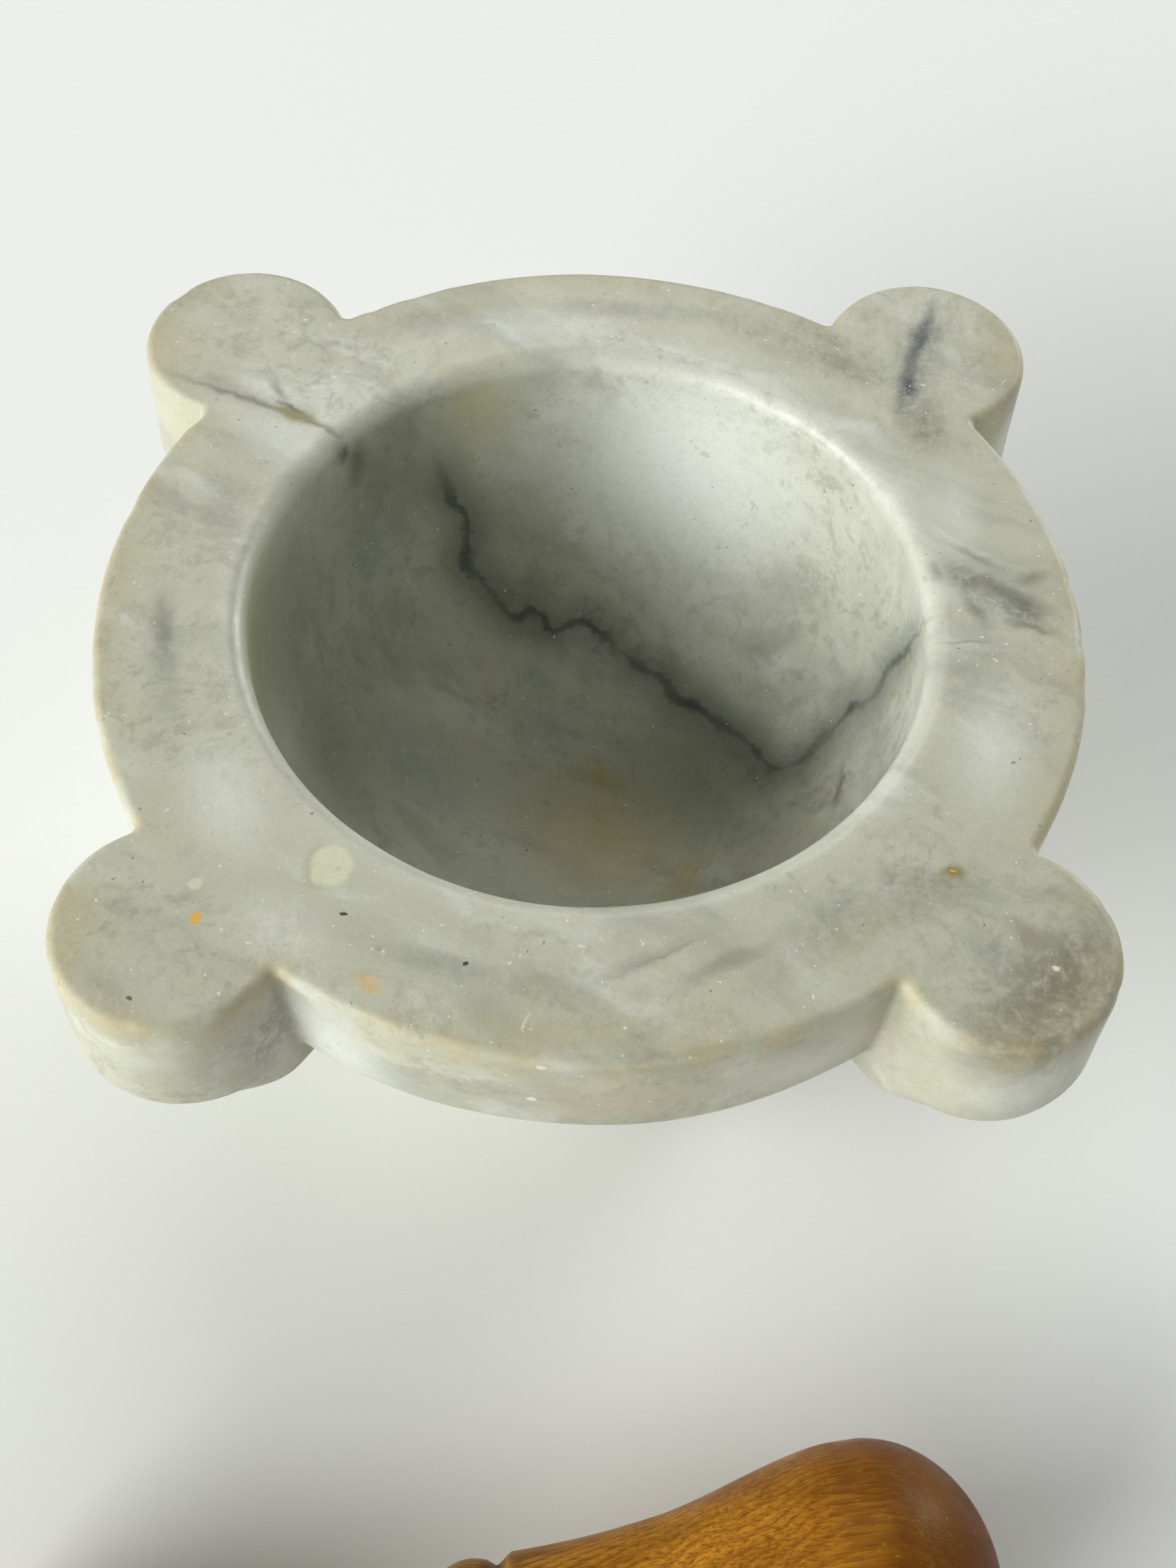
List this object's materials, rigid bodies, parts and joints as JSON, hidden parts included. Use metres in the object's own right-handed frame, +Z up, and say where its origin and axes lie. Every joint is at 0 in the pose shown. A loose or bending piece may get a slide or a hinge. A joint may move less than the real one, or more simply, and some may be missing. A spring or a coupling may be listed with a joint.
{
  "type": "mortar and pestle",
  "caption": "Round stone mortar with lugs around its rim and a deep hemispherical bowl, with a turned wooden pestle lying beside it, for crushing and grinding by hand.",
  "frame": {"origin": "centre of the mortar's round foot, on the surface that the set stands on", "axes": "+Z up along the mortar's axis; -Y to the front, where the pestle lies; +X towards the pestle's head"},
  "size_m": [0.247, 0.3277, 0.124],
  "materials": {
    "marble": "worn, half-polished grey-white marble with dark veins",
    "beech": "turned beech, satin varnish"
  },
  "bodies": {
    "mortar": {"mortar": "marble"},
    "pestle": {"pestle": "beech"}
  },
  "joints": [
    {"name": "pestle_lift", "type": "slide", "parent": "mortar", "child": "pestle", "axis": [0, 0, 1], "range_m": [0, 0.25]}
  ]
}
